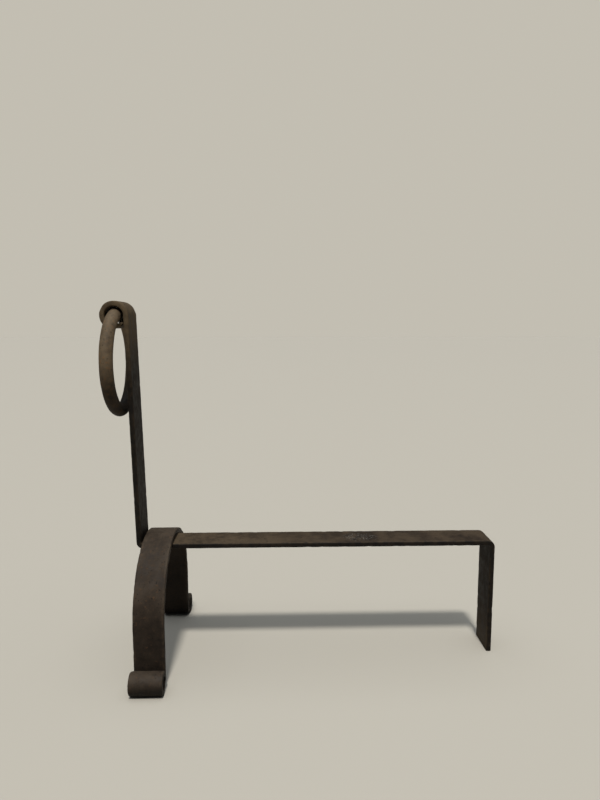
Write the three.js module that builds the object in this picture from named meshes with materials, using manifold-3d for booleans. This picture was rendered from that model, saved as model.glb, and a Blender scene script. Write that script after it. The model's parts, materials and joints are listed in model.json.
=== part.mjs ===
// An andiron, or fire dog, forged from flat bar. It stands on the hearth and holds the logs up.
//
// Units are millimetres. +X runs along the log bar, from the upright to the rear leg, +Y runs
// across it, and +Z is up. The origin is on the hearth, under the middle of the whole andiron.
//
// Four pieces make it:
//   firedog_bar  one strip, bent into the rolled eye, the upright, the log bar and the rear leg
//   arched_foot  a second strip, bent over the log bar, with both ends rolled into front feet
//   rivet        holds the crown of the arch to the log bar
//   ring         hangs loose in the rolled eye
import * as THREE from 'three';
import { mergeVertices } from 'three/addons/utils/BufferGeometryUtils.js';
import Module from 'manifold-3d';

const { degToRad, lerp, smoothstep } = THREE.MathUtils;
const wasm = await Module();
wasm.setup();

// ---------------------------------------------------------------------------------------------
// Driving dimensions
// ---------------------------------------------------------------------------------------------

// The long bar
const overallLength = 420; // from the upright's front face to the rear leg's rear face
const overallHeight = 417; // from the hearth to the top of the eye
const logBarHeight = 138; // from the hearth to the log bar's top face
const barWidth = 40;
const barThickness = 6;
const bendRadius = 2; // inside both square bends
const uprightLean = 1.4; // degrees that the upright leans forward
const punchSpread = 0.4; // how much wider the log bar is where the rivet's hole is punched
const punchReach = 19; // how far from the hole it is wider

// The rolled eye, at the top of the upright
const eyePlay = 0.9; // how far the ring can be lifted in the eye
const eyeTipWidth = 36; // at the rolled end
const eyeTipThickness = 3.5;
const eyeTaperTurn = 100; // degrees of the roll over which its end is drawn thin

// The arched foot
const strapWidth = 34;
const strapThickness = 6;
const footSpan = 214; // over both rolls
const heelRadius = 11; // where each leg turns outward
const heelTurn = 60; // degrees of that turn
const soleRadius = 24; // the flatter bend from there to under the roll
const rollDiameter = 25; // of each rolled foot
const rollWidth = 36.5; // the hammer has spread the strap here
const rollTipRadius = 5; // of the rolled end, inside the roll
const rollTipTurn = 60; // degrees that it turns there
const rollTipThickness = 3.5;
const footWear = 0.25; // depth of the flat that the hearth has worn under each roll

// The ring
const ringDiameter = 125; // outside
const ringBar = 15;

// The rivet
const rivetDiameter = 8;
const rivetHeadDiameter = 14; // of the dome under the log bar
const rivetHeadHeight = 5;
const countersinkDepth = 2.5; // of the flush head in the crown

// Fits
const clearance = 0.3; // between pieces that touch
const seam = 0.4; // where a rolled end lies against its own strip
const edgeRadius = 0.9; // worn edges of both strips

// Facets: how many each turn is divided into
const eyeSteps = 54;
const squareBendSteps = 12;
const halfArchSteps = 24;
const heelSteps = 6;
const soleSteps = 4;
const rollSteps = 20; // from under the roll to its top
const closingSteps = 10;
const rollTipSteps = 6;
const turnedSteps = 24; // round the rivet and its hole
const domeSteps = 8; // over the rivet's head
const ringBarSteps = 18;
const ringSteps = 84;

const weld = 1e-3; // points closer than this are one
const overcut = 1; // how far a cutter reaches past the piece it cuts

// ---------------------------------------------------------------------------------------------
// Sizes that follow from them
// ---------------------------------------------------------------------------------------------

const ringRadius = (ringDiameter - ringBar) / 2; // to the middle of its bar

// The ring rests on both edges of the eye. There its bar lies lower than at the middle of the
// eye, and aslant, which makes it taller.
const ringSlant = Math.asin(barWidth / 2 / ringRadius);
const ringDrop = ringRadius * (1 - Math.cos(ringSlant));
const ringHalfHeight = ringBar / 2 / Math.cos(ringSlant);
const eyeRadius = (ringDrop + ringHalfHeight + ringBar / 2 + eyePlay) / 2; // inside
const ringRise = ringDrop + ringHalfHeight + clearance - eyeRadius; // of its bar over the eye's axis

const lean = degToRad(uprightLean);
const outerBendRadius = bendRadius + barThickness;
const logBarUnderside = logBarHeight - barThickness;

// Each leg turns under through the heel and the sole, and then the roll begins.
const heel = degToRad(heelTurn);
const rollRadius = rollDiameter / 2;
const heelReach = heelRadius * (1 - Math.cos(heel)) + soleRadius * Math.cos(heel);
const heelHeight = heelRadius * Math.sin(heel) + soleRadius * (1 - Math.sin(heel)) - footWear;
const closingRadius = heelReach - strapThickness - seam; // brings the roll back to the leg

// The arch is a half circle. It bears on the log bar's two top edges, inside their worn corners.
const archRadius = footSpan / 2 - rollRadius - heelReach; // inside
const punchedWidth = barWidth + punchSpread;
const bearing = punchedWidth / 2 - edgeRadius;
const springHeight = logBarHeight + clearance - Math.sqrt(archRadius ** 2 - bearing ** 2);
const crownTop = springHeight + archRadius + strapThickness;

const rivetTop = crownTop - clearance;

/** The point at a height, so far behind the front face of the leaning upright, as (x, z). */
function behindUpright(distance, height) {
  const climb = (height - logBarHeight - distance * Math.sin(lean)) / Math.cos(lean);
  return new THREE.Vector2(distance * Math.cos(lean) - climb * Math.sin(lean), height);
}

const eyeCentre = behindUpright(-eyeRadius, overallHeight - barThickness - eyeRadius);
const frontBend = behindUpright(outerBendRadius, logBarHeight + bendRadius);
const rearBend = new THREE.Vector2(overallLength, logBarHeight).subScalar(outerBendRadius);
const strapMiddle = frontBend.x + clearance + strapWidth / 2;
const spreadEnd = strapMiddle + punchReach;

const frontmost = eyeCentre.x - eyeRadius - barThickness;
const middle = (frontmost + overallLength) / 2;

// ---------------------------------------------------------------------------------------------
// Forging: a strip that follows a line
// ---------------------------------------------------------------------------------------------

/** Points of the strip's section, as (across the width, through the thickness). */
function stripSection(width, thickness, inset) {
  const round = edgeRadius;
  const side = width / 2 - inset;
  const corners = [
    [side - round, inset + round, -90],
    [side - round, thickness - inset - round, 0],
    [round - side, thickness - inset - round, 90],
    [round - side, inset + round, 180],
  ];
  return corners.flatMap(([across, through, from]) => [0, 45, 90].map((turn) => {
    const angle = degToRad(from + turn);
    return [across + round * Math.cos(angle), through + round * Math.sin(angle)];
  }));
}

/**
 * Stations along one run of a strip. The curve is the line of one face, in the XZ plane, and the
 * thickness lies to its left. Width and thickness are functions of the way along, from 0 to 1.
 */
function run(curve, steps, width, thickness) {
  return Array.from({ length: steps + 1 }, (_, step) => {
    const along = step / steps;
    const heading = curve.getTangent(along);
    return {
      point: curve.getPoint(along),
      left: new THREE.Vector2(-heading.y, heading.x),
      heading,
      width: width(along),
      thickness: thickness(along),
      inset: 0,
    };
  });
}

/** A line in the XZ plane that is laid down piece by piece, straight on or round a bend. */
class Line {
  constructor(x, z, heading) {
    this.point = new THREE.Vector2(x, z);
    this.heading = heading;
  }

  straight(length) {
    const way = new THREE.Vector2(Math.cos(this.heading), Math.sin(this.heading));
    const start = this.point;
    this.point = start.clone().addScaledVector(way, length);
    return new THREE.LineCurve(start, this.point);
  }

  /** Turns to the left, or to the right where the turn is negative. */
  bend(radius, turn) {
    const fromCentre = this.heading - Math.sign(turn) * Math.PI / 2;
    const { x, y } = this.point;
    const centreX = x - radius * Math.cos(fromCentre);
    const centreY = y - radius * Math.sin(fromCentre);
    const curve = new THREE.EllipseCurve(
      centreX, centreY, radius, radius, fromCentre, fromCentre + turn, turn < 0);
    this.point = curve.getPoint(1);
    this.heading += turn;
    return curve;
  }
}

/** Leaves out each station that stands where the last one stands. */
function joined(runs) {
  return runs.flat().filter((station, index, all) => {
    return index === 0 || station.point.distanceTo(all[index - 1].point) > weld;
  });
}

/** Softens an end of the strip: the last section is drawn in, a little way past the station. */
function softEnd(station, direction) {
  const end = { ...station, inset: edgeRadius / 2 };
  const back = { ...station };
  back.point = station.point.clone().addScaledVector(station.heading, -direction * edgeRadius / 2);
  return direction > 0 ? [back, end] : [end, back];
}

/** A closed solid through the stations, with flat ends. */
function forge(stations) {
  const rings = stations.map(({ point, left, width, thickness, inset }) => {
    return stripSection(width, thickness, inset).map(([across, through]) => {
      const place = point.clone().addScaledVector(left, through);
      return [place.x, across, place.y];
    });
  });
  const count = rings[0].length;
  const indices = [];
  for (let station = 0; station + 1 < stations.length; station += 1) {
    for (let side = 0; side < count; side += 1) {
      const a = station * count + side;
      const b = station * count + (side + 1) % count;
      indices.push(a, b, b + count, a, b + count, a + count);
    }
  }
  const last = (stations.length - 1) * count;
  for (let side = 1; side + 1 < count; side += 1) {
    indices.push(0, side + 1, side);
    indices.push(last, last + side, last + side + 1);
  }
  const geometry = new THREE.BufferGeometry();
  geometry.setAttribute('position', new THREE.Float32BufferAttribute(rings.flat(2), 3));
  geometry.setIndex(indices);
  return geometry;
}

// ---------------------------------------------------------------------------------------------
// Cutting
// ---------------------------------------------------------------------------------------------

/** The solid that a closed geometry bounds. */
function solidOf(geometry) {
  const bare = geometry.clone();
  bare.deleteAttribute('normal');
  bare.deleteAttribute('uv');
  const merged = mergeVertices(bare, weld);
  const vertProperties = new Float32Array(merged.attributes.position.array);
  const triVerts = new Uint32Array(merged.index.array);
  return new wasm.Manifold(new wasm.Mesh({ numProp: 3, vertProperties, triVerts }));
}

/** The geometry less the cutter's space. */
function cut(geometry, cutter) {
  const mesh = solidOf(geometry).subtract(solidOf(cutter)).getMesh();
  const result = new THREE.BufferGeometry();
  result.setAttribute('position', new THREE.BufferAttribute(mesh.vertProperties, 3));
  result.setIndex(new THREE.BufferAttribute(mesh.triVerts, 1));
  return result;
}

/** A turned solid about the Z axis, from points (radius, height) that start and end on it. */
function turned(points) {
  const profile = points.map(([radius, height]) => new THREE.Vector2(radius, height));
  return new THREE.LatheGeometry(profile, turnedSteps).rotateX(Math.PI / 2);
}

// ---------------------------------------------------------------------------------------------
// The pieces
// ---------------------------------------------------------------------------------------------

/** The long bar. Its line lines the eye, fronts the upright and runs under the log bar. */
function barGeometry() {
  const eyeTip = Math.acos((eyeRadius - seam) / (eyeRadius + eyeTipThickness));
  const eyeTurn = 2 * Math.PI - eyeTip;
  const drawnOut = (along) => smoothstep(along * eyeTurn, 0, degToRad(eyeTaperTurn));
  const full = () => barThickness;
  const wide = () => barWidth;
  const back = new THREE.Vector2(Math.cos(lean), Math.sin(lean));
  const underEye = eyeCentre.clone().addScaledVector(back, eyeRadius);
  const overBend = frontBend.clone().addScaledVector(back, -outerBendRadius);
  const legFront = rearBend.x + bendRadius;

  const eye = new THREE.EllipseCurve(
    eyeCentre.x, eyeCentre.y, eyeRadius, eyeRadius, lean - eyeTip, lean, true);
  const upright = new THREE.LineCurve(underEye, overBend);
  const frontTurn = new THREE.EllipseCurve(
    frontBend.x, frontBend.y, outerBendRadius, outerBendRadius, Math.PI + lean, 1.5 * Math.PI, false);
  const under = (x) => new THREE.Vector2(x, logBarUnderside);
  const toHole = new THREE.LineCurve(under(frontBend.x), under(strapMiddle));
  const pastHole = new THREE.LineCurve(under(strapMiddle), under(spreadEnd));
  const logBar = new THREE.LineCurve(under(spreadEnd), under(rearBend.x));
  const rearTurn = new THREE.EllipseCurve(
    rearBend.x, rearBend.y, bendRadius, bendRadius, Math.PI / 2, 0, true);
  const leg = new THREE.LineCurve(
    new THREE.Vector2(legFront, rearBend.y), new THREE.Vector2(legFront, 0));

  const stations = joined([
    run(eye, eyeSteps, (along) => lerp(eyeTipWidth, barWidth, drawnOut(along)),
      (along) => lerp(eyeTipThickness, barThickness, drawnOut(along))),
    run(upright, 1, wide, full),
    run(frontTurn, squareBendSteps, wide, full),
    run(toHole, 1, (along) => lerp(barWidth, punchedWidth, along), full),
    run(pastHole, 1, (along) => lerp(punchedWidth, barWidth, along), full),
    run(logBar, 1, wide, full),
    run(rearTurn, squareBendSteps, wide, full),
    run(leg, 1, wide, full),
  ]);
  const first = softEnd(stations[0], -1);
  const last = softEnd(stations.at(-1), 1);
  const strip = forge([...first, ...stations.slice(1, -1), ...last]);
  const hole = turned([
    [0, logBarUnderside - overcut],
    [rivetDiameter / 2 + clearance, logBarUnderside - overcut],
    [rivetDiameter / 2 + clearance, logBarHeight + overcut],
    [0, logBarHeight + overcut],
  ]).translate(strapMiddle, 0, 0);
  return cut(strip, hole);
}

/**
 * The arched foot, in its own frame: the arch stands along X, with the crown over the origin. Its
 * line is the face inside the arch, which each roll turns to the hearth.
 */
function archGeometry() {
  const full = () => strapThickness;
  const wide = () => strapWidth;
  const spread = () => rollWidth;
  const halfThin = (strapThickness + rollTipThickness) / 2;
  const quarter = Math.PI / 2;

  const line = new Line(0, springHeight + archRadius, 0);
  const half = joined([
    run(line.bend(archRadius, -quarter), halfArchSteps, wide, full),
    run(line.straight(springHeight - heelHeight), 1, wide, full),
    run(line.bend(heelRadius, heel), heelSteps, wide, full),
    run(line.bend(soleRadius, quarter - heel), soleSteps,
      (along) => lerp(strapWidth, rollWidth, along), full),
    run(line.bend(rollRadius, 2 * quarter), rollSteps, spread, full),
    run(line.bend(closingRadius, quarter), closingSteps, spread,
      (along) => lerp(strapThickness, halfThin, along)),
    run(line.bend(rollTipRadius, degToRad(rollTipTurn)), rollTipSteps, spread,
      (along) => lerp(halfThin, rollTipThickness, along)),
  ]);
  half.splice(-1, 1, ...softEnd(half.at(-1), 1));
  const mirror = new THREE.Vector2(-1, 1);
  const otherHalf = half.slice(1).reverse().map((station) => ({
    ...station,
    point: station.point.clone().multiply(mirror),
    left: station.left.clone().multiply(mirror),
  }));
  const strip = forge([...otherHalf, ...half]);

  const hearthDepth = 10;
  const hearth = new THREE.BoxGeometry(footSpan + hearthDepth, rollWidth + hearthDepth, hearthDepth);
  hearth.translate(0, 0, -hearthDepth / 2);

  const shank = rivetDiameter / 2 + clearance;
  const cone = rivetDiameter / 2 + countersinkDepth + clearance * Math.SQRT2;
  const hole = turned([
    [0, springHeight],
    [shank, springHeight],
    [shank, rivetTop - cone + shank],
    [cone, rivetTop],
    [cone, crownTop + overcut],
    [0, crownTop + overcut],
  ]);
  return cut(cut(strip, hearth), hole);
}

/** The rivet, upright on the Z axis: a domed head, the shank and a flush head in the crown. */
function rivetGeometry() {
  const shank = rivetDiameter / 2;
  const headTop = logBarUnderside - clearance;
  const dome = Array.from({ length: domeSteps + 1 }, (_, step) => {
    const angle = (step / domeSteps) * Math.PI / 2;
    const height = headTop - rivetHeadHeight * Math.cos(angle);
    return [rivetHeadDiameter / 2 * Math.sin(angle), height];
  });
  return turned([
    ...dome,
    [shank, headTop],
    [shank, rivetTop - countersinkDepth],
    [shank + countersinkDepth, rivetTop],
    [0, rivetTop],
  ]);
}

/** The ring of round bar, with its axis along Z. */
function ringGeometry() {
  return new THREE.TorusGeometry(ringRadius, ringBar / 2, ringBarSteps, ringSteps);
}

// ---------------------------------------------------------------------------------------------
// The andiron
// ---------------------------------------------------------------------------------------------

/** A named piece of wrought iron. */
function piece(name, geometry, color, roughness) {
  const material = new THREE.MeshStandardMaterial({ color, roughness, metalness: 0.6 });
  const mesh = new THREE.Mesh(geometry, material);
  mesh.name = name;
  return mesh;
}

const andiron = new THREE.Group();
andiron.name = 'andiron';

const standing = new THREE.Group();
standing.position.x = -middle;
andiron.add(standing);

standing.add(piece('firedog_bar', barGeometry(), 0x2c2622, 0.75));

const archedFoot = piece('arched_foot', archGeometry(), 0x362e28, 0.8);
archedFoot.position.x = strapMiddle;
archedFoot.rotation.z = Math.PI / 2;
standing.add(archedFoot);

const rivet = piece('rivet', rivetGeometry(), 0x302a25, 0.75);
rivet.position.x = strapMiddle;
standing.add(rivet);

// The ring's own group stands on the eye's axis, about which the ring swings.
const ringSwing = new THREE.Group();
ringSwing.position.set(eyeCentre.x, 0, eyeCentre.y);
standing.add(ringSwing);

const ring = piece('ring', ringGeometry(), 0x4a3b30, 0.7);
ring.position.z = ringRise - ringRadius;
ring.rotation.y = Math.PI / 2;
ringSwing.add(ring);

export default andiron;
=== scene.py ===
# %% [markdown]
# # A forged andiron
#
# An andiron, or fire dog, stands on the hearth and carries the logs, so that air reaches them
# from below. This one is plain smith's work: two strips of flat bar, a ring of round bar and a
# rivet. The imported model already has every piece at its true size and place. Here each piece is
# forged again from finer mesh, so that it can show hammer marks, worn edges and rust.
#
# The frame comes first. The finished pieces are made to stay inside its box.

import json
from math import ceil, cos, pi, radians

import bmesh
import bpy
from mathutils import Matrix, Vector, noise


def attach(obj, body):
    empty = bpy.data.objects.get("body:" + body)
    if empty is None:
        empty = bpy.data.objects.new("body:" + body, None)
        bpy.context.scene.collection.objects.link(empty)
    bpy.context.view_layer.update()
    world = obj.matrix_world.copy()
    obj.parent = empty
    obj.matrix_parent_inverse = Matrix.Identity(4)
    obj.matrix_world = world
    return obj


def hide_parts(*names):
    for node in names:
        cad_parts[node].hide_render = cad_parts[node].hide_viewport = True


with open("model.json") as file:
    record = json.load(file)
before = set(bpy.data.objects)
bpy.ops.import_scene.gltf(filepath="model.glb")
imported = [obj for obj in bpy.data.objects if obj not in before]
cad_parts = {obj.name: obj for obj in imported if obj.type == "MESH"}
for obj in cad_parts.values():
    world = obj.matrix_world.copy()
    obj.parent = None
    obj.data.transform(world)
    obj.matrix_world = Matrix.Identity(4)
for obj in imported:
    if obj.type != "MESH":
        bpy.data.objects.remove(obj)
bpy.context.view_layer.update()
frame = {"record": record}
MM = 0.001
bodies = frame["record"]["behaviour"]["bodies"]
print("bodies:", {name: list(nodes) for name, nodes in bodies.items()})

# %% [markdown]
# ## The camera
#
# The photograph was taken from in front of the log bar, a little above it, looking slightly
# down. A camera can be set by eye, but here its place was worked out from the known sizes, so
# that the edges fall where they do in the photograph. The image is taller than it is wide, so
# the lens is measured against its height.

# %% The camera
CAMERA_PLACE = Vector((-22.95, -699.41, 389.45)) * MM
CAMERA_TURN = radians(-1.602)
CAMERA_PITCH = radians(7.018)
FOCAL_PIXELS, IMAGE_HEIGHT = 604.65, 800
SENSOR_HEIGHT = 24.0  # in mm

camera_data = bpy.data.cameras.new("camera")
camera_data.sensor_fit = "VERTICAL"
camera_data.sensor_height = SENSOR_HEIGHT
camera_data.lens = SENSOR_HEIGHT * FOCAL_PIXELS / IMAGE_HEIGHT
camera = bpy.data.objects.new("camera", camera_data)
camera.location = CAMERA_PLACE
camera.rotation_euler = (pi / 2 - CAMERA_PITCH, 0.0, CAMERA_TURN)
scene = bpy.context.scene
scene.collection.objects.link(camera)
scene.camera = camera
scene.view_settings.view_transform = "Standard"
print("lens:", round(camera_data.lens, 2), "mm")

# %% [markdown]
# ## Light and floor
#
# Dark iron shows its shape by small differences of light. A small lamp high on the camera's side
# gives the log bar its shadow on the floor behind it, a very wide one straight above softens it,
# and a faint even world fills the rest. A stronger world would light the upright's sides as much
# as the log bar's top, and flatten them. The floor is lit to the colour of the background, so
# that hardly a line shows where it ends.

# %% Light and floor
FLOOR_COLOUR = (0.420, 0.387, 0.328, 1.0)
BACKDROP_COLOUR = (0.545, 0.516, 0.446, 1.0)
FLOOR_REACH, FLOOR_ROUGHNESS = 20.0, 0.9
KEY_LIGHT, KEY_SLOPE, KEY_WIDTH = 0.82, radians(25), radians(6)
SOFT_LIGHT, SOFT_WIDTH = 0.46, radians(80)
WORLD_LIGHT = 0.07
WARM, COOL = (1.0, 0.99, 0.96), (0.93, 1.0, 1.07)


def sun(name, share, slope, width, colour):
    """A lamp that lights a level white surface to this share of white."""
    data = bpy.data.lights.new(name, "SUN")
    data.energy = pi * share / cos(slope)
    data.angle = width
    data.color = colour
    lamp = bpy.data.objects.new(name, data)
    lamp.rotation_euler = (slope, 0.0, 0.0)
    scene.collection.objects.link(lamp)
    print(name, "strength:", round(data.energy, 2))


sun("key lamp", KEY_LIGHT, KEY_SLOPE, KEY_WIDTH, WARM)
sun("soft lamp", SOFT_LIGHT, 0.0, SOFT_WIDTH, COOL)

world = bpy.data.worlds.new("world")
scene.world = world
world.use_nodes = True
sky = world.node_tree
sky.nodes.clear()
seen = sky.nodes.new("ShaderNodeBackground")
seen.inputs["Color"].default_value = BACKDROP_COLOUR
fill = sky.nodes.new("ShaderNodeBackground")
fill.inputs["Color"].default_value = (*COOL, 1.0)
fill.inputs["Strength"].default_value = WORLD_LIGHT
path = sky.nodes.new("ShaderNodeLightPath")
choice = sky.nodes.new("ShaderNodeMixShader")
sky.links.new(path.outputs["Is Camera Ray"], choice.inputs[0])
sky.links.new(fill.outputs[0], choice.inputs[1])
sky.links.new(seen.outputs[0], choice.inputs[2])
sky.links.new(choice.outputs[0], sky.nodes.new("ShaderNodeOutputWorld").inputs["Surface"])

plane = bmesh.new()
bmesh.ops.create_grid(plane, x_segments=1, y_segments=1, size=FLOOR_REACH)
floor_mesh = bpy.data.meshes.new("floor")
plane.to_mesh(floor_mesh)
plane.free()
floor = bpy.data.objects.new("floor", floor_mesh)
scene.collection.objects.link(floor)
floor_material = bpy.data.materials.new("pale floor")
floor_material.use_nodes = True
floor_shader = floor_material.node_tree.nodes["Principled BSDF"]
floor_shader.inputs["Base Color"].default_value = FLOOR_COLOUR
floor_shader.inputs["Roughness"].default_value = FLOOR_ROUGHNESS
floor_mesh.materials.append(floor_material)

# %% [markdown]
# ## A strip that grows
#
# A smith starts with a straight flat bar and bends it from one end to the other. A strip can
# also be swept along a curve, but then its section is hard to change on the way. So this one
# grows as the work does: a rim, which is the outline of the section, is extruded straight on, or
# spun round a bend. At each small step the rim can also be scaled, which draws the bar out
# narrower or thinner.
#
# The rim starts as four vertices. Bevelling them rounds the bar's long edges, and the long sides
# are divided, so that the surface has vertices to take hammer marks. The rounded corners are
# marked as worn in an attribute that the iron's material reads later.

# %% A growing strip
EDGE_ROUND, EDGE_SEGMENTS = 1.3 * MM, 3
MESH_STEP = 2.4 * MM
LONG_SIDE = 1.1 * MESH_STEP  # sides longer than this are divided
LEAST_BEND_STEPS = 4


def only(kind, items):
    """The items that are vertices, edges or faces."""
    return [item for item in items if isinstance(item, kind)]


class Strip:
    """A flat bar in the making, measured along one face. Its thickness lies to `out`."""

    def __init__(self, point, along, out, width, thickness):
        self.point, self.along, self.out = Vector(point), Vector(along), Vector(out)
        self.width, self.thickness = width, thickness
        self.bm = bm = bmesh.new()
        wear = bm.verts.layers.float.new("wear")
        across = self.along.cross(self.out)
        corners = ((-1, 0), (1, 0), (1, 1), (-1, 1))
        bm.faces.new([
            bm.verts.new(self.point + across * (side * width / 2) + self.out * (depth * thickness))
            for side, depth in corners])
        bmesh.ops.bevel(bm, geom=bm.verts[:], offset=EDGE_ROUND, offset_type="OFFSET",
                        segments=EDGE_SEGMENTS, profile=0.5, affect="VERTICES", material=-1)
        for vert in bm.verts:
            vert[wear] = 1.0
        for edge in [edge for edge in bm.edges if edge.calc_length() > LONG_SIDE]:
            cuts = ceil(edge.calc_length() / MESH_STEP) - 1
            halves = bmesh.ops.bisect_edges(bm, edges=[edge], cuts=cuts)["geom_split"]
            for vert in only(bmesh.types.BMVert, halves):
                vert[wear] = 0.0
        bmesh.ops.delete(bm, geom=bm.faces[:], context="FACES_ONLY")
        self.rim = bm.edges[:]

    def rim_verts(self):
        return list({vert for edge in self.rim for vert in edge.verts})

    def draw_out(self, width, thickness):
        """Scales the rim about its place on the measured face."""
        across = self.along.cross(self.out)
        axes = Matrix((across, self.along, self.out)).transposed().to_4x4()
        place = Matrix.Translation(self.point) @ axes
        ratio = (width / self.width, 1.0, thickness / self.thickness)
        bmesh.ops.scale(self.bm, vec=ratio, space=place.inverted(), verts=self.rim_verts())
        self.width, self.thickness = width, thickness

    def straight(self, length):
        """Grows straight on, at the width and thickness that it has."""
        steps = max(1, ceil(length / MESH_STEP))
        for _ in range(steps):
            made = bmesh.ops.extrude_edge_only(self.bm, edges=self.rim)["geom"]
            moved = set(only(bmesh.types.BMVert, made))
            edges = only(bmesh.types.BMEdge, made)
            self.rim = [edge for edge in edges if moved.issuperset(edge.verts)]
            bmesh.ops.translate(self.bm, vec=self.along * (length / steps), verts=list(moved))
            self.point += self.along * (length / steps)

    def bend(self, radius, turn, width=None, thickness=None):
        """Grows round a bend of this radius on the measured face, towards `out` if turn is over 0.

        On the way it is drawn out evenly to the width and thickness.
        """
        centre = self.point + self.out * (radius if turn > 0 else -radius)
        axis = self.along.cross(self.out)
        outer = radius + self.thickness
        steps = max(LEAST_BEND_STEPS, ceil(abs(turn) * outer / MESH_STEP))
        widths, thicknesses = self.between(steps, width, thickness)
        spin = Matrix.Rotation(turn / steps, 3, axis)
        for step in range(steps):
            made = bmesh.ops.spin(
                self.bm, geom=[*self.rim, *self.rim_verts()], cent=centre, axis=axis,
                dvec=(0, 0, 0), angle=turn / steps, steps=1, use_merge=False,
                use_duplicate=False)["geom_last"]
            self.rim = only(bmesh.types.BMEdge, made)
            self.point = centre + spin @ (self.point - centre)
            self.along, self.out = spin @ self.along, spin @ self.out
            self.draw_out(widths[step], thicknesses[step])

    def between(self, steps, width, thickness):
        """The width and the thickness after each step, on the way to the last."""
        width, thickness = width or self.width, thickness or self.thickness
        shares = [(step + 1) / steps for step in range(steps)]
        return ([self.width + (width - self.width) * share for share in shares],
                [self.thickness + (thickness - self.thickness) * share for share in shares])

    def close(self, softness):
        """Closes each open end with a flat face and softens its edge."""
        bm = self.bm
        open_edges = [edge for edge in bm.edges if edge.is_boundary]
        ends = bmesh.ops.holes_fill(bm, edges=open_edges, sides=0)["faces"]
        rims = [edge for end in ends for edge in end.edges]
        bmesh.ops.bevel(bm, geom=rims, offset=softness, offset_type="OFFSET",
                        segments=EDGE_SEGMENTS, profile=0.5, affect="EDGES", clamp_overlap=True,
                        material=-1)
        bmesh.ops.recalc_face_normals(bm, faces=bm.faces)


# %% [markdown]
# ## Hammer marks and weathering
#
# Forged bar is never quite flat. The hammer leaves shallow dents, and years of use nick the long
# edges. Sculpting would do this by hand, and a Displace modifier would do it evenly. Here each
# vertex is pushed inward by smooth noise, which repeats exactly on each run, and never outward,
# so the pieces stay clear of each other.
#
# Weather and fire don't colour a piece evenly either. Fine ash settles on what faces up, and what
# stands clear of the fire rusts brown. Noise alone can't know which side is which, so each vertex
# keeps its dust, soot and rust in attributes. The soot share is mostly painted shade: it darkens
# narrow sides, inner faces, undersides and hollows where shade falls. On the ring the soot is
# partly painted shade and the rust partly painted light.

# %% Hammering
DENT_DEPTH, NICK_DEPTH, NICK_SIZE = 0.3 * MM, 0.7 * MM, 7 * MM
NICK_FROM = 0.15  # the noise has to be over this to nick an edge
NICK_SHIFT = Vector((7.3, 2.1, 4.8))  # so that nicks and dents differ
FACE_SHIFT = 0.6  # so that the faces on both sides of an edge differ
END_SOFTNESS = 0.8 * MM
SAME_PLACE = 0.01 * MM  # vertices closer than this are one
SHARP_ANGLE = radians(40)


def hammer(bm, dent, size, nick):
    """Pushes the vertices inward: dents of this depth and size, and nicks in worn edges."""
    wear = bm.verts.layers.float["wear"]
    bm.normal_update()
    moves = []
    for vert in bm.verts:
        place = vert.co / size + FACE_SHIFT * vert.normal
        depth = dent * (0.5 - 0.5 * noise.noise(place))
        chance = noise.noise(vert.co / NICK_SIZE + NICK_SHIFT)
        depth += nick * vert[wear] * max(0.0, chance - NICK_FROM) / (1 - NICK_FROM)
        moves.append((vert, vert.normal * -depth))
    for vert, move in moves:
        vert.co += move


def fade(value, start, end):
    """Goes smoothly from 0 at start to 1 at end."""
    share = min(1.0, max(0.0, (value - start) / (end - start)))
    return share * share * (3 - 2 * share)


def weather_and_shade(bm, marks):
    """Marks each vertex with its dust, and with the soot and the rust that marks gives it.

    The soot share is mostly painted shade, and on the ring the rust is partly painted light. To
    marks, places are in mm. It gives shares from 0 to 1.
    """
    dust, soot_and_shade, rust = (bm.verts.layers.float.new(name) for name in ("dust", "soot_and_shade", "rust"))
    bm.normal_update()
    for vert in bm.verts:
        vert[dust] = max(0.0, vert.normal.z) ** 2
        vert[soot_and_shade], vert[rust] = marks(vert.co / MM, vert.normal)


def finished(name, bm, marks, body, replaced):
    """The finished piece as an object that rides on its body and stands for a node."""
    weather_and_shade(bm, marks)
    mesh = bpy.data.meshes.new(name)
    bm.to_mesh(mesh)
    volume = bm.calc_volume(signed=True)
    triangles = sum(len(face.verts) - 2 for face in bm.faces)
    bm.free()
    mesh.shade_smooth()
    mesh.set_sharp_from_angle(angle=SHARP_ANGLE)
    piece = bpy.data.objects.new(name, mesh)
    scene.collection.objects.link(piece)
    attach(piece, body)
    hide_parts(replaced)
    print(f"{name}: {triangles} triangles, {volume * 1e6:.1f} cm3")
    return piece


# %% [markdown]
# ## The long bar
#
# One strip makes the rear leg, the log bar, the upright and the eye. It is forged here from the
# leg's end. The first bend turns it over the hearth, the second turns it up, and the upright
# leans forward a little. At its top the strip is rolled into an eye, nearly closed, with its
# last part drawn thin. The strip is measured along the face that lines the eye.

# %% The long bar
BAR_WIDTH, BAR_THICKNESS = 40 * MM, 6 * MM
LEG_FRONT, LEG_HEIGHT = 220.322 * MM, 130 * MM
LOG_BAR_LENGTH, UPRIGHT_LENGTH = 404.046 * MM, 261.412 * MM
INNER_BEND, OUTER_BEND = 2 * MM, 8 * MM
LEAN = radians(1.4)
EYE_RADIUS = 10.108 * MM
EYE_TURN, TAPER_TURN = radians(315.513), radians(100)
EYE_TIP_WIDTH, EYE_TIP_THICKNESS = 36 * MM, 3.5 * MM
BAR_DENT_SIZE = 11 * MM

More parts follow.
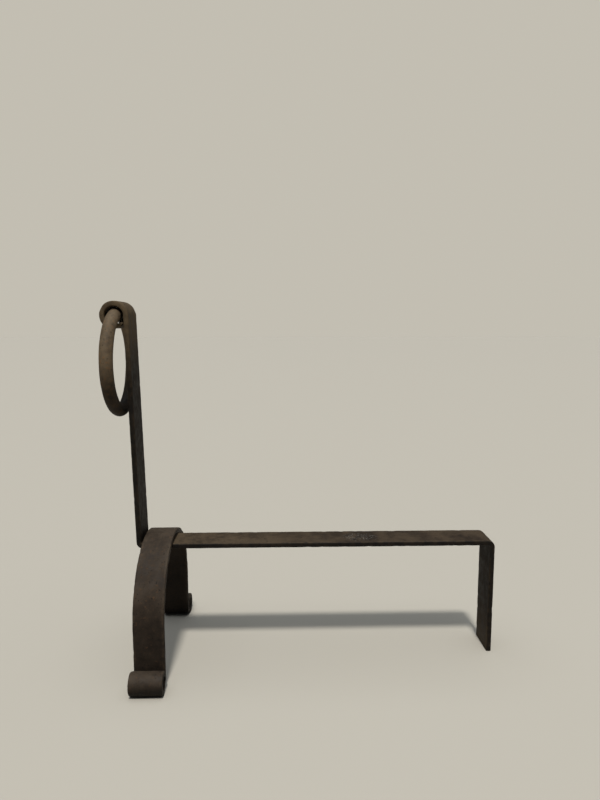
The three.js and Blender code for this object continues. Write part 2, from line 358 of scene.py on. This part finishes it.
bar = Strip((LEG_FRONT, 0, 0), (0, 0, 1), (1, 0, 0), BAR_WIDTH, BAR_THICKNESS)
bar.straight(LEG_HEIGHT)
bar.bend(INNER_BEND, -pi / 2)
bar.straight(LOG_BAR_LENGTH)
bar.bend(OUTER_BEND, pi / 2 - LEAN)
bar.straight(UPRIGHT_LENGTH)
bar.bend(EYE_RADIUS, TAPER_TURN - EYE_TURN)
bar.bend(EYE_RADIUS, -TAPER_TURN, width=EYE_TIP_WIDTH, thickness=EYE_TIP_THICKNESS)
print("the eye's end is at", [round(c / MM, 2) for c in bar.point], "mm")
bar.close(END_SOFTNESS)
hammer(bar.bm, dent=DENT_DEPTH, size=BAR_DENT_SIZE, nick=NICK_DEPTH)


def bar_marks(place, normal):
    """Painted shade on sides, inner faces and under the log bar; rust at eye and leg end."""
    facing_inward = normal.x if place.x < 0 else -normal.x
    up, down = fade(place.z, 320, 412), fade(place.z, 70, 10)
    sides = abs(normal.y) * fade(place.z, 390, 300)
    inside = max(0.0, facing_inward) * (1 - up) * (1 - down)
    corner = max(0.0, -normal.x) * fade(place.x, 150, 200) * fade(place.z, 80, 120)
    under = max(0.0, -normal.z) * fade(place.z, 160, 140)
    front = max(0.0, normal.z) * fade(place.x, 60, -110)
    # The soot share here is all painted shade: darker narrow sides, inner faces, and the underside
    # and the corner under the log bar.
    soot_and_shade = max(0.97 * sides, 0.6 * inside, 0.9 * under, 0.85 * corner)
    rust = max(up, 0.35 * front, 0.4 * down)
    return soot_and_shade, rust


long_bar = finished("long_bar", bar.bm, bar_marks, "stand", "firedog_bar")

# %% [markdown]
# ## The arched foot
#
# A second, narrower strip goes over the log bar and down to the hearth on both sides. Each end
# turns out at the heel and is rolled up and back to the leg, which makes a round foot that
# doesn't dig into the hearth. Both halves are alike, so one is forged from the middle of the
# crown, and the mirror operator makes the other and welds them there. Last, the rolls are worn
# flat where they reach a little under the hearth's level.

# %% The arched foot
STRAP_MIDDLE, STRAP_WIDTH, STRAP_THICKNESS = -168.424 * MM, 34 * MM, 6 * MM
SPRING_HEIGHT, ARCH_RADIUS = 63.758 * MM, 77 * MM
HEEL_HEIGHT, HEEL_RADIUS, HEEL_TURN = 12.492 * MM, 11 * MM, radians(60)
SOLE_RADIUS, ROLL_RADIUS, CLOSING_RADIUS = 24 * MM, 12.5 * MM, 11.1 * MM
ROLL_WIDTH = 36.5 * MM
TIP_RADIUS, TIP_TURN, TIP_THICKNESS = 5 * MM, radians(60), 3.5 * MM
STRAP_DENT_SIZE = 10 * MM

crown = (STRAP_MIDDLE, 0, SPRING_HEIGHT + ARCH_RADIUS)
foot = Strip(crown, (0, 1, 0), (0, 0, 1), STRAP_WIDTH, STRAP_THICKNESS)
foot.bend(ARCH_RADIUS, -pi / 2)
foot.straight(SPRING_HEIGHT - HEEL_HEIGHT)
foot.bend(HEEL_RADIUS, HEEL_TURN)
foot.bend(SOLE_RADIUS, pi / 2 - HEEL_TURN, width=ROLL_WIDTH)
print("under the roll the strap is at", [round(c / MM, 2) for c in foot.point], "mm")
foot.bend(ROLL_RADIUS, pi)
foot.bend(CLOSING_RADIUS, pi / 2, thickness=(STRAP_THICKNESS + TIP_THICKNESS) / 2)
foot.bend(TIP_RADIUS, TIP_TURN, thickness=TIP_THICKNESS)
everything = [*foot.bm.verts, *foot.bm.edges, *foot.bm.faces]
bmesh.ops.mirror(foot.bm, geom=everything, axis="Y", merge_dist=SAME_PLACE)
foot.close(END_SOFTNESS)
hammer(foot.bm, dent=DENT_DEPTH, size=STRAP_DENT_SIZE, nick=NICK_DEPTH)
for vert in foot.bm.verts:
    vert.co.z = max(vert.co.z, 0.0)


def foot_marks(place, normal):
    """Painted shade inside the arch, low on its legs and under the rolls."""
    inward = Vector((0, -place.y, min(0.0, SPRING_HEIGHT / MM - place.z))).normalized()
    inside = fade(normal.dot(inward), 0.2, 0.7)
    low = fade(place.z, 95, 45) * fade(place.z, 22, 27)
    under = fade(normal.z, 0.8, -0.5) * fade(place.z, 27, 22)
    # The soot share here is all painted shade: darker inside the arch, low on the legs and under
    # the rolls.
    soot_and_shade = max(0.58 * inside, 0.35 * low, 0.9 * under)
    rust = 0.2 * max(0.0, normal.z)
    return soot_and_shade, rust


arched_strap = finished(
    "arched_strap", foot.bm, foot_marks, "stand", "arched_foot")

# %% [markdown]
# ## The rivet
#
# A rivet through the crown holds both strips together. Its lower head is a dome under the log
# bar, and its upper head is hammered flush into the crown. A turned shape is a spun profile: the
# edges of half its section go once round the axis, and use_merge closes the seam.

# %% The rivet
RIVET_DOME = ((0.0, 126.7), (1.6, 126.85), (3.3, 127.4), (4.9, 128.4), (6.1, 129.7),
              (6.8, 131.0), (7.0, 131.7), (6.7, 132.0))
RIVET_SHANK = ((4.0, 132.0), (4.0, 144.0))
RIVET_FLUSH_HEAD = ((6.2, 146.2), (5.9, 146.68), (3.0, 147.0), (0.0, 147.05))
RIVET_SIDES = 48
RIVET_DENT_DEPTH, RIVET_DENT_SIZE = 0.2 * MM, 4 * MM


def turned(points, middle, sides):
    """A bmesh with this profile of (radius, height) in mm, turned round an upright axis."""
    bm = bmesh.new()
    bm.verts.layers.float.new("wear")
    verts = [bm.verts.new((middle + radius * MM, 0.0, height * MM)) for radius, height in points]
    edges = [bm.edges.new(pair) for pair in zip(verts, verts[1:])]
    bmesh.ops.spin(bm, geom=[*verts, *edges], cent=(middle, 0, 0), axis=(0, 0, 1),
                   dvec=(0, 0, 0), angle=2 * pi, steps=sides, use_merge=True,
                   use_duplicate=False)
    bmesh.ops.remove_doubles(bm, verts=bm.verts, dist=SAME_PLACE)
    bmesh.ops.recalc_face_normals(bm, faces=bm.faces)
    return bm


rivet_mesh = turned(RIVET_DOME + RIVET_SHANK + RIVET_FLUSH_HEAD, STRAP_MIDDLE, RIVET_SIDES)
hammer(rivet_mesh, dent=RIVET_DENT_DEPTH, size=RIVET_DENT_SIZE, nick=0.0)
# The rivet takes the foot's marks, so its dome under the log bar gets painted shade.
flush_rivet = finished("flush_rivet", rivet_mesh, foot_marks, "stand", "rivet")

# %% [markdown]
# ## The ring
#
# The ring is round bar, bent into a circle and welded shut. It hangs loose in the eye. A circle,
# spun once round the ring's axis, makes it. Where it rubs in the eye it is marked as worn.

# %% The ring
RING_MIDDLE = Vector((-210.214, 0, 347.9)) * MM
RING_RADIUS, RING_BAR = 55 * MM, 15 * MM
RING_STEPS, RING_SIDES = 160, 28
RING_DENT_DEPTH, RING_DENT_SIZE = 0.35 * MM, 14 * MM
RUBBED_SHARE = 0.25  # of the radius, at the top of the ring
RUBBED_FROM = RING_MIDDLE.z + (1 - RUBBED_SHARE) * RING_RADIUS

ring_mesh = bmesh.new()
ring_wear = ring_mesh.verts.layers.float.new("wear")
bmesh.ops.create_circle(
    ring_mesh, cap_ends=False, segments=RING_SIDES, radius=RING_BAR / 2,
    matrix=Matrix.Translation(RING_MIDDLE + Vector((0, RING_RADIUS, 0))))
bmesh.ops.spin(
    ring_mesh, geom=[*ring_mesh.verts, *ring_mesh.edges], cent=RING_MIDDLE, axis=(1, 0, 0),
    dvec=(0, 0, 0), angle=2 * pi, steps=RING_STEPS, use_merge=True, use_duplicate=False)
bmesh.ops.remove_doubles(ring_mesh, verts=ring_mesh.verts, dist=SAME_PLACE)
bmesh.ops.recalc_face_normals(ring_mesh, faces=ring_mesh.faces)
hammer(ring_mesh, dent=RING_DENT_DEPTH, size=RING_DENT_SIZE, nick=0.0)
for vert in ring_mesh.verts:
    rubbed_share = (vert.co.z - RUBBED_FROM) / (RUBBED_SHARE * RING_RADIUS)
    vert[ring_wear] = min(1.0, max(0.0, rubbed_share))


def ring_marks(place, normal):
    """Soot and painted shade on the lower half, rust and painted light above, all sides alike."""
    # Darker low and lighter high, partly soot and rust, partly painted shade and painted light.
    low = fade(place.z, 365, 300)
    return 0.85 * low, 0.6 * (1 - low)


hanging_ring = finished("hanging_ring", ring_mesh, ring_marks, "ring", "ring")

# %% [markdown]
# ## Iron
#
# Iron that has lived in a fire has a brown-black skin. It isn't one colour: broad patches go
# from black to brown, small mottles break them up, rust shows through in flecks, and edges are
# rubbed lighter. A photograph of rusty metal could be wrapped round the pieces, but noise
# textures on the object's own coordinates need no image and have no seams. The same noises feed
# the roughness and a bump, so that what looks like a pit also catches light as a pit.

# %% Node helpers
def add(tree, kind, inputs=None, **settings):
    """A node with its settings, and its inputs as values or as the sockets that feed them."""
    node = tree.nodes.new(kind)
    for name, value in settings.items():
        setattr(node, name, value)
    for name, value in (inputs or {}).items():
        feed(tree, node.inputs[name], value)
    return node


def feed(tree, socket, value):
    """Links a socket to this input, or sets its value."""
    if isinstance(value, bpy.types.NodeSocket):
        tree.links.new(value, socket)
    else:
        socket.default_value = value


def spread(tree, value, low, high, to_low=0.0, to_high=1.0):
    """Maps low..high smoothly to another range."""
    return add(tree, "ShaderNodeMapRange", {
        "Value": value, "From Min": low, "From Max": high, "To Min": to_low, "To Max": to_high,
    }, interpolation_type="SMOOTHSTEP").outputs["Result"]


def speckle(tree, place, size, detail, low, high):
    """Noise whose spots are about this big, spread from 0 to 1 between low and high."""
    spots = add(tree, "ShaderNodeTexNoise",
                {"Vector": place, "Scale": 1 / size, "Detail": detail, "Roughness": 0.6})
    return spread(tree, spots.outputs["Fac"], low, high)


def combined(tree, operation, first, second):
    """Two values, put together by a Math node."""
    node = add(tree, "ShaderNodeMath", operation=operation)
    feed(tree, node.inputs[0], first)
    feed(tree, node.inputs[1], second)
    return node.outputs[0]


def times(tree, first, second):
    """The product of two values."""
    return combined(tree, "MULTIPLY", first, second)


def plus(tree, first, second):
    """The sum of two values."""
    return combined(tree, "ADD", first, second)


def uneven(tree, mark, spots, at_low, at_high):
    """A mark, times a share that follows the spots: at_low between them and at_high in them."""
    return times(tree, mark, spread(tree, spots, 0.0, 1.0, at_low, at_high))


def laid_over(tree, share, under, over):
    """One colour over another, by its share. The Mix node's colours are inputs 6 and 7."""
    node = add(tree, "ShaderNodeMix", data_type="RGBA")
    for index, value in ((0, share), (6, under), (7, over)):
        feed(tree, node.inputs[index], value)
    return node.outputs[2]


# %% Forged iron
# Near-black, for soot, pits, and the painted shade that the soot share lays on.
SOOT_AND_SHADE = (0.0048, 0.0038, 0.0029, 1.0)
PATCH_SIZE, MOTTLE_SIZE, GRAIN_SIZE = 45 * MM, 7 * MM, 1.2 * MM
FLECK_SIZE, PIT_SIZE = 3.5 * MM, 2.2 * MM
SMEAR_SIZE, CRUMB_SIZE = 9 * MM, 1.7 * MM
SHEEN = 0.13  # of the specular level, low because the skin is matt
BUMP_STRENGTH, BUMP_DEPTH = 0.8, 0.25 * MM


def ash_patch(tree, place, colour, middle, reach, tone):
    """A dark smear of soot round the middle, as wide as reach, with pale crumbs of ash in it."""
    spot = add(tree, "ShaderNodeMapping",
               {"Vector": place, "Location": middle, "Scale": reach},
               vector_type="TEXTURE").outputs["Vector"]
    ball = add(tree, "ShaderNodeTexGradient", {"Vector": spot}, gradient_type="SPHERICAL")
    near = spread(tree, ball.outputs["Fac"], 0.0, 0.5)
    smear = times(tree, near, speckle(tree, place, SMEAR_SIZE, 4.0, 0.4, 0.6))
    colour = laid_over(tree, times(tree, smear, 0.65), colour, SOOT_AND_SHADE)
    crumbs = times(tree, near, speckle(tree, place, CRUMB_SIZE, 1.0, 0.58, 0.7))
    return laid_over(tree, crumbs, colour, tone)


def forged_iron(name, skin, brown, rust, bare, rustiness, ash=None):
    """Fire-blackened iron, in patches of skin and brown, with flecks of rust and rubbed edges."""
    material = bpy.data.materials.new(name)
    material.use_nodes = True
    tree = material.node_tree
    shader = tree.nodes["Principled BSDF"]
    place = add(tree, "ShaderNodeTexCoord").outputs["Object"]
    worn, dusty, sooty_and_shaded, rust_and_light = (
        add(tree, "ShaderNodeAttribute", attribute_name=mark).outputs["Fac"]
        for mark in ("wear", "dust", "soot_and_shade", "rust"))

    patches = speckle(tree, place, PATCH_SIZE, 5.0, 0.38, 0.62)
    mottles = speckle(tree, place, MOTTLE_SIZE, 6.0, 0.3, 0.7)
    grain = speckle(tree, place, GRAIN_SIZE, 3.0, 0.25, 0.75)
    flecks = speckle(tree, place, FLECK_SIZE, 5.0, 0.68 - 0.2 * rustiness, 0.74)
    pits = speckle(tree, place, PIT_SIZE, 2.0, 0.64, 0.72)
    rubbed = times(tree, worn, spread(tree, mottles, 0.2, 0.9, 0.0, 0.35))

    colour = laid_over(tree, patches, skin, brown)
    colour = laid_over(tree, times(tree, mottles, 0.5), colour, brown)
    colour = laid_over(tree, times(tree, grain, 0.4), colour, skin)
    # The rust share lays bare iron over; on the ring's upper half it is partly painted light.
    colour = laid_over(tree, uneven(tree, rust_and_light, mottles, 0.45, 1.0), colour, bare)
    colour = laid_over(tree, times(tree, flecks, 0.7), colour, rust)
    colour = laid_over(tree, uneven(tree, dusty, patches, 0.05, 0.2), colour, bare)
    colour = laid_over(tree, rubbed, colour, bare)
    # Painted shade: the soot share darkens sides, undersides and hollows towards near-black.
    colour = laid_over(tree, uneven(tree, sooty_and_shaded, mottles, 1.0, 0.75), colour, SOOT_AND_SHADE)
    colour = laid_over(tree, times(tree, pits, 0.8), colour, SOOT_AND_SHADE)
    if ash:
        colour = ash_patch(tree, place, colour, **ash)
    tree.links.new(colour, shader.inputs["Base Color"])

    rough = spread(tree, mottles, 0.0, 1.0, 0.6, 0.8)
    rough = plus(tree, rough, times(tree, rubbed, -0.3))
    tree.links.new(rough, shader.inputs["Roughness"])
    tree.links.new(times(tree, rubbed, 0.6), shader.inputs["Metallic"])
    shader.inputs["Specular IOR Level"].default_value = SHEEN

    height = plus(tree, times(tree, mottles, 0.5), times(tree, grain, 0.2))
    height = plus(tree, height, times(tree, pits, -0.6))
    height = plus(tree, height, times(tree, flecks, 0.25))
    bump = add(tree, "ShaderNodeBump",
               {"Height": height, "Strength": BUMP_STRENGTH, "Distance": BUMP_DEPTH})
    tree.links.new(bump.outputs["Normal"], shader.inputs["Normal"])
    return material


# %% Finishing the pieces
ASH = {"middle": (68 * MM, -2 * MM, 138 * MM), "reach": (26 * MM, 17 * MM, 8 * MM),
       "tone": (0.17, 0.16, 0.14, 1.0)}
bar_iron = forged_iron(
    "fire-blackened bar", skin=(0.0155, 0.0102, 0.0064, 1), brown=(0.043, 0.0294, 0.0188, 1),
    rust=(0.070, 0.037, 0.018, 1), bare=(0.104, 0.074, 0.042, 1), rustiness=0.35, ash=ASH)
strap_iron = forged_iron(
    "brown strap", skin=(0.0160, 0.0107, 0.0072, 1), brown=(0.042, 0.0297, 0.0202, 1),
    rust=(0.078, 0.040, 0.019, 1), bare=(0.080, 0.060, 0.041, 1), rustiness=0.5)
ring_iron = forged_iron(
    "rubbed ring", skin=(0.036, 0.0245, 0.0145, 1), brown=(0.098, 0.068, 0.040, 1),
    rust=(0.15, 0.074, 0.030, 1), bare=(0.152, 0.112, 0.070, 1), rustiness=0.8)
for piece, material in ((long_bar, bar_iron), (arched_strap, strap_iron),
                        (flush_rivet, strap_iron), (hanging_ring, ring_iron)):
    piece.data.materials.append(material)
    print(piece.name, "is", material.name)
